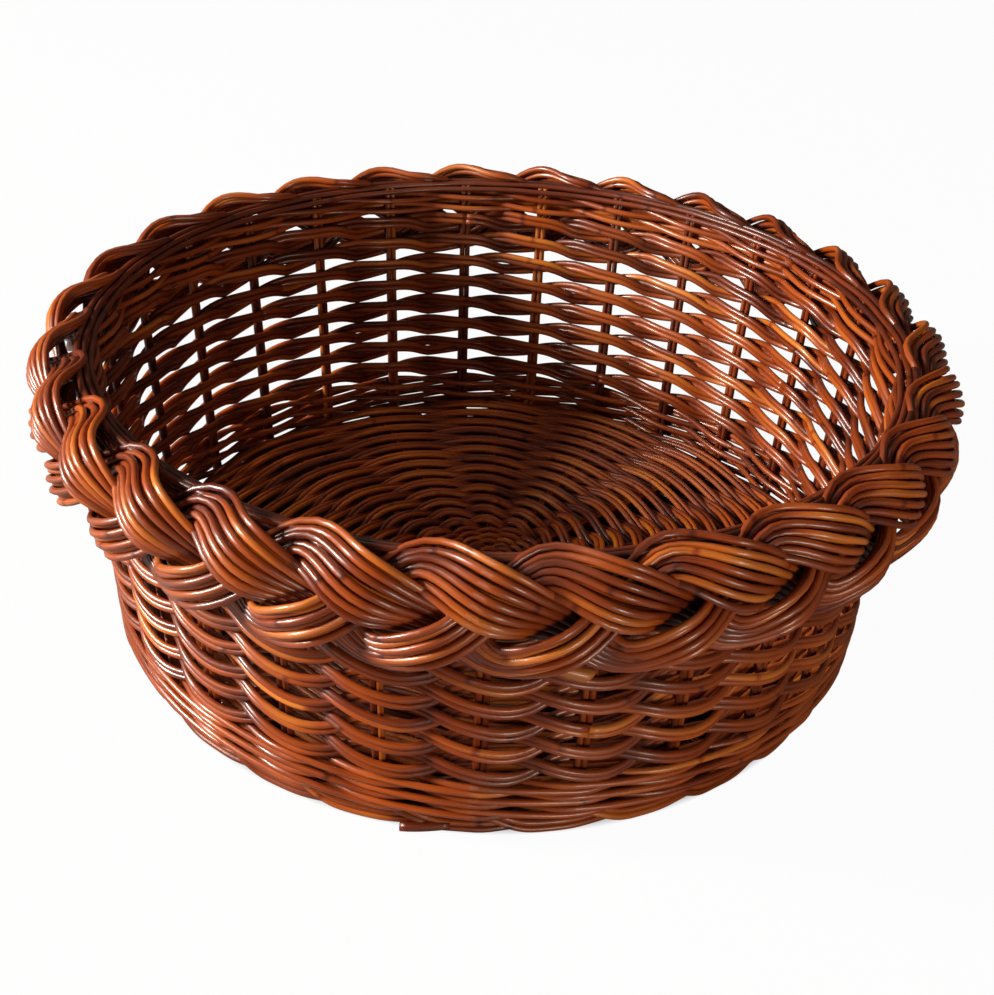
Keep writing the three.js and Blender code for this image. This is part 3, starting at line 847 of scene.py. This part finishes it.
foot_rods = []
foot_line = smooth_through(foot_stations, SMOOTH_STEPS)
slope = np.gradient(foot_line, axis=0)
run = slope[:, 0] * PITCH * FOOT_MIDDLE_RADIUS
fall = slope[:, 2]
length = np.hypot(run, fall)
for stake in range(STAKES):
    lean = dice.normal(0, FOOT_LEAN)
    for side in (0, 1):
        # The second rod lies on the upper side of the first, square to the way they run.
        beside = side * FOOT_ROD * FOOT_PAIR_CLOSENESS
        angle = (stake + lean + foot_line[:, 0]) * PITCH
        angle = angle + beside * (-fall / length) / foot_line[:, 1]
        radius = foot_line[:, 1] - 0.25 * side + drift(foot_line[:, 0], WANDER)
        height = foot_line[:, 2] + beside * (run / length) + drift(foot_line[:, 0], 0.10)
        height = np.clip(height, FOOT_ROD / 2 + 0.02, FOOT_TOP)
        tuck = np.clip((135.0 - radius) / 5, 0, 0.8)
        path = at(angle, radius, height)
        foot_rods.append(rod(path, FOOT_ROD / 2, dice.normal(0.46, 0.15), tuck))
full_turn = np.linspace(0, 2 * math.pi, STAKES * 4, endpoint=False)
for radius, height in FILLING:
    radius = radius + drift(full_turn, 0.2)
    path = at(full_turn, radius, height + np.abs(drift(full_turn, WANDER)))
    foot_rods.append(rod(path, FILLING_ROD / 2, dice.normal(0.40, 0.12), tuck=0.5, closed=True))
lay_rods("rolled_foot", foot_rods, foot_finish, ["foot_border"])
print(len(foot_rods), "rods in the foot")

# %% [markdown]
# ## Rods along the top of the wall
# Before the rim is plaited, a few rods are laid round the tops of the stakes, some inside and some
# outside of them. From inside the basket they show as two or three level lines under the plait.

# %% Rim rods
RIM_ROD = 2.3
STAKE_BULGE = 0.25
# Each rod's place outside the stakes' middle and above their tops.
RIM_PLACES = ((-2.0, 1.1), (2.3, 1.2), (0.3, 2.7), (2.6, 3.3))
core_radius = wall_radius(stake_top)
rim_rods = []
for aside, above in RIM_PLACES:
    angle = np.linspace(0, 2 * math.pi, STAKES * 6, endpoint=False)
    radius = core_radius + aside + drift(angle, 0.15)
    radius = radius + STAKE_BULGE * np.cos(angle * STAKES) * np.sign(aside)
    height = core_bottom + above + drift(angle, 0.14)
    tone = shades_along(angle / (2 * math.pi), middle=0.46, spread=0.10, changes=4)
    rim_rods.append(rod(at(angle, radius, height), RIM_ROD / 2, tone, tuck=0.45, closed=True))
lay_rods("rods_along_the_wall_top", rim_rods, stake_finish_painted_darker, ["rim_core"])
print(len(rim_rods), "rods along the wall's top")

# %% [markdown]
# ## The plait
# Three flat bundles are plaited round the rim. A bundle's middle swings up and down like a sine
# wave, and it moves out and in twice as fast: out while it comes down over its neighbour, in while
# it goes behind the next. That is the whole secret of a plait, whether it is made of hair or of
# rods.
#
# In the photograph each bundle shows about half a dozen rods side by side, with more behind. So a
# bundle here is a ribbon with seven rods on its face and five on its back, and the rods wander a
# little and change shade, as worked ones do. The ribbon fans out after its crest, and its topmost
# rods curl up over the rim. Where it narrows to go under, every second rod dives behind the others.

# %% Plait
PLAIT_ROD = 2.5
FACE_RODS = 7
BACK_RODS = 5
# A bundle's two layers of rods: how many, which side, and their share of width, crown and of the
# darkening where a rod tucks away, partly stain and partly painted shade.
LAYERS = ((FACE_RODS, 1, 1.0, 1.0, 0.8), (BACK_RODS, -1, 0.72, 0.3, 1.0))
FACE_LAYER = 0.7
FACE_CROWN = 0.9
BUNDLE_SPREAD = 2.4
FAN_EARLY = math.radians(38)
DIVE = 1.9
STEPS_PER_WAVE = 34
WAVES = STAKES // 3
PLAIT_BEND_OVER = 17.0
PLAIT_BEND_UNDER = 75.0
PLAIT_LEAN = 0.10
PLAIT_SKEW = 0.13
TROUGH_REACH = 0.14
PLAIT_STRAIGHT = 0.03
PLAIT_SNAP = 0.10
PLAIT_LATE = math.radians(-2)
ARCH = 1.4
ARCH_MIDDLE = math.radians(75)
ARCH_WIDTH = math.radians(28)
CREST_REACH = 0.10
CREST_FLAT_FROM = 11.0
CREST_FLAT_BY = 19.0
plait_swing = 0.9 * STRAND_WIDTH + CLEARANCE
plait_depth = STRAND_THICKNESS + CLEARANCE
plait_radius = 158.9
plait_height = 103.2
SHADE_CHANGE = 0.14
PALE_STROKE = 0.20
PALE_STROKES_SHARE = 0.18


def on_rim(angle, up, out):
    """Bends the flat plait over the rim: up it, and out from it."""
    bend = np.where(up > 0, PLAIT_BEND_OVER, PLAIT_BEND_UNDER)
    turn = up / bend
    radius = plait_radius - bend * (1 - np.cos(turn)) + out * np.cos(turn)
    return at(angle, radius, plait_height + bend * np.sin(turn) + out * np.sin(turn))


def plait_up(t):
    """How far up the face the bundle's middle is. Crest and trough are drawn out a little."""
    turn = t + PLAIT_LEAN * np.sin(t)
    wave = np.sin(turn) - PLAIT_STRAIGHT * np.sin(3 * turn) - PLAIT_SKEW * np.cos(3 * turn)
    reach = 1 + CREST_REACH * np.maximum(wave, 0) + TROUGH_REACH * np.maximum(-wave, 0)
    return plait_swing * wave * reach


def plait_out(t, up):
    """How far out the bundle is: over its neighbour, under the next, and level on the crest."""
    level = np.clip((up - CREST_FLAT_FROM) / (CREST_FLAT_BY - CREST_FLAT_FROM), 0, 1)
    late = t - PLAIT_LATE
    return -plait_depth * (np.sin(2 * late) + PLAIT_SNAP * np.sin(4 * late)) * (1 - level)


def changing_shade(t, start):
    """Each stroke of a bundle brings in other rods, so the shade changes from crest to crest."""
    strokes = WAVES + 1
    values = dice.normal(0.52, 0.10, strokes)
    values = values + PALE_STROKE * (dice.uniform(size=strokes) > 1 - PALE_STROKES_SHARE)
    values[-1] = values[0]
    where = np.clip((t - start) / (2 * math.pi), 0, WAVES - 1e-6)
    part = where.astype(int)
    share = np.clip(((where - part) - (1 - SHADE_CHANGE)) / SHADE_CHANGE, 0, 1)
    return values[part] + share * (values[part + 1] - values[part])


for strand in range(3):
    phase = strand * 2 * math.pi / 3
    angle = np.arange(WAVES * STEPS_PER_WAVE) * 2 * math.pi / (WAVES * STEPS_PER_WAVE)
    t = WAVES * (angle - PLAIT_TURN) + phase
    up = plait_up(t)
    out = plait_out(t, up)
    # The flat plait's own directions: along the bundle, and across it.
    going_up = (plait_up(t + 0.01) - plait_up(t - 0.01)) / 0.02 * WAVES
    length = np.hypot(plait_radius, going_up)
    narrow = np.clip(0.2 + np.cos(t - 0.15), 0, 1)
    fan = np.clip(-1.6 * np.cos(t + FAN_EARLY), -1, 1)
    half = (STRAND_WIDTH + BUNDLE_SPREAD + STRAND_FAN * fan - PLAIT_ROD) / 2
    over_the_rim = np.exp(-((np.mod(t, 2 * math.pi) - ARCH_MIDDLE) / ARCH_WIDTH) ** 2)
    strand_rods = []
    for count, face, width, crown, stain_and_painted_shade in LAYERS:
        for number in range(count):
            place = (2 * number / (count - 1) - 1) * width
            aside = place * half + drift(angle, 0.26, (4, 7, 11, 19))
            lifted = face * (FACE_LAYER + FACE_CROWN * (1 - place ** 2) * crown)
            lifted = lifted + drift(angle, 0.22, (5, 8, 13, 21))
            lifted = lifted - (number % 2) * DIVE * narrow
            curl = ARCH * np.clip(2.2 * place - 1.2, 0, 1) * over_the_rim
            height = up + aside * plait_radius / length + curl
            path = on_rim(angle - aside * going_up / length / plait_radius, height, out + lifted)
            thickness = PLAIT_ROD / 2 * (0.99 + drift(angle, 0.04, (3, 5, 9)))
            # The back layer is painted darker where it tucks away: partly stain, partly painted
            # shade.
            tuck = np.clip(0.42 + 0.42 * np.sin(2 * t), 0, 1) * stain_and_painted_shade
            strand_rods.append(rod(path, thickness, changing_shade(t, t[0]), tuck, closed=True))
    node = "plait_strand_%d" % (strand + 1)
    lay_rods("rods_of_" + node, strand_rods, plait_finish, [node])
print("three strands of", FACE_RODS + BACK_RODS, "rods")

# %% [markdown]
# ## Cut ends
# Where a rod runs out, its end is cut off with a slant and left. Two of them show: one lies flat on
# the wall under the plait, near the middle of the front, and one sticks out beside the foot. A cut
# is made here as a maker makes it, with one straight slice through the tube.

# %% Cut ends
RIM_END_START = math.radians(13.3333) - 24.0 / 149.0
RIM_END_LENGTH = 18.0
RIM_END_DROP = 6.5
RIM_END_LEVEL = 26.0
RIM_END_SINK = 4.2
RIM_END_OUT = 6.4
RIM_CUT = 1.15
RIM_CUT_SLANT = 1.2
FOOT_END_TIP = math.radians(-10.4)
FOOT_END_RADIUS = 137.9
FOOT_END_LENGTH = 16.0
FOOT_END_INWARDS = 2.6
rim_end_top = stake_top - RIM_END_LEVEL
rim_end_radius = wall_radius(rim_end_top) + RIM_END_OUT


def slice_end(piece, point, direction):
    """Slices the piece at a plane and closes the cut."""
    bm = bmesh.new()
    bm.from_mesh(piece.data)
    everything = bm.verts[:] + bm.edges[:] + bm.faces[:]
    bmesh.ops.bisect_plane(bm, geom=everything, plane_co=Vector(point), plane_no=Vector(direction),
                           clear_outer=True)
    edges = [edge for edge in bm.edges if edge.is_boundary]
    bmesh.ops.holes_fill(bm, edges=edges, sides=0)
    bmesh.ops.recalc_face_normals(bm, faces=bm.faces)
    bm.to_mesh(piece.data)
    bm.free()


def rim_end_at(share):
    """A place on the rod end under the plait. The share is 0 where it comes out, 1 near its tip."""
    angle = RIM_END_START + share * RIM_END_LENGTH / rim_end_radius
    return at(angle, rim_end_radius, rim_end_top - RIM_END_SINK - share * RIM_END_DROP)


share = np.linspace(-0.3, 1.35, 14)
thickness = 1.3 + 1.2 * np.clip(share, 0, 1) ** 2
rim_end = lay_rods("cut_end_under_the_plait", [rod(rim_end_at(share), thickness, tone=0.58)],
                   cut_finish, ["rod_end_rim"], sides=12)
tangent = at(RIM_END_START + math.pi / 2, 1.0, 0.0)
slice_end(rim_end, rim_end_at(RIM_CUT) * MM, tangent - np.array([0, 0, RIM_CUT_SLANT]))

# This one points to the left and comes out from under the rods of the foot.
share = np.linspace(0, 1, 8)
radius = FOOT_END_RADIUS - FOOT_END_INWARDS * share ** 1.5
angle = FOOT_END_TIP + share * FOOT_END_LENGTH / FOOT_END_RADIUS
path = at(angle, radius, 2.1 + 1.2 * share)
lay_rods("cut_end_at_the_foot", [rod(path, radius=1.75, tone=0.30, tuck=0.3)], foot_finish,
         ["rod_end_foot"], sides=12)
print("two cut ends")
